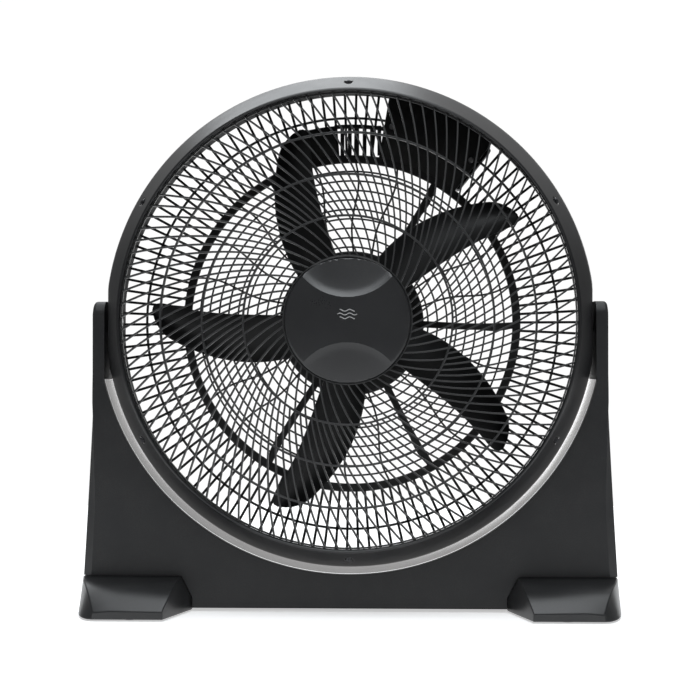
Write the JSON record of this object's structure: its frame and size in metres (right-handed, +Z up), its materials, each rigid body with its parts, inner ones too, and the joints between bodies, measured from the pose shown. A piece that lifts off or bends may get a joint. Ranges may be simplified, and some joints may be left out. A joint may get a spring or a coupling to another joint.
{
  "type": "box fan",
  "caption": "Round turbo floor fan whose guarded head tilts between the arms of a low U-shaped stand, with a speed knob at the back.",
  "frame": {"origin": "on the floor, under the middle of the stand and of the tilt axis", "axes": "+Z up; the fan blows towards -Y; +X is to the right seen from the front"},
  "size_m": [0.6, 0.2, 0.6001],
  "materials": {
    "shell": "satin charcoal moulding",
    "guard": "satin black moulding",
    "blade": "glossy black moulding",
    "steel": "bright zinc-plated steel",
    "alloy": "die-cast",
    "core": "laminated electrical steel",
    "copper": "enamelled copper winding",
    "bronze": "sintered bronze bearing",
    "rubber": "matt",
    "trim": "brushed silver strip"
  },
  "bodies": {
    "stand": {"stand_front": "shell", "stand_cover": "shell", "trim_strip": "trim", "foot_left": "shell", "foot_right": "shell", "pad_left_front": "rubber", "pad_left_rear": "rubber", "pad_right_front": "rubber", "pad_right_rear": "rubber", "foot_screw_left_1": "steel", "foot_screw_left_2": "steel", "foot_screw_right_1": "steel", "foot_screw_right_2": "steel", "cover_screw_1": "steel", "cover_screw_2": "steel", "cover_screw_3": "steel", "cover_screw_4": "steel"},
    "head": {"front_ring": "shell", "front_grille": "guard", "hub_badge": "shell", "rear_shell": "guard", "control_box": "guard", "rotary_switch": "rubber", "capacitor": "guard", "cord_gland": "rubber", "box_screw_1": "steel", "box_screw_2": "steel", "motor_front_bell": "alloy", "stator": "core", "winding_front": "copper", "winding_rear": "copper", "motor_rear_bell": "alloy", "bearing_front": "bronze", "bearing_rear": "bronze", "motor_screw_1": "steel", "motor_screw_2": "steel", "motor_screw_3": "steel", "motor_screw_4": "steel", "ring_screw_1": "steel", "ring_screw_2": "steel", "ring_screw_3": "steel", "ring_screw_4": "steel", "ring_screw_5": "steel", "ring_screw_6": "steel", "pivot_pin_left": "steel", "pivot_pin_right": "steel", "friction_washer_left": "rubber", "friction_washer_right": "rubber", "pivot_nut_left": "steel", "pivot_nut_right": "steel"},
    "rotor": {"shaft": "steel", "rotor_core": "alloy", "impeller": "blade", "blade_nut": "blade"},
    "knob": {"speed_knob": "shell", "switch_stem": "steel"}
  },
  "joints": [
    {"name": "head_tilt", "type": "hinge", "parent": "stand", "child": "head", "pos_m": [0, 0, 0.3243], "axis": [-1, 0, 0], "range_deg": [-15, 90]},
    {"name": "rotor_spin", "type": "hinge", "parent": "head", "child": "rotor", "pos_m": [0, 0, 0.3243], "axis": [0, -1, 0], "continuous": true},
    {"name": "speed_knob_turn", "type": "hinge", "parent": "head", "child": "knob", "pos_m": [0.09477, 0.09, 0.53716], "axis": [0, 1, 0], "range_deg": [0, 135]}
  ]
}
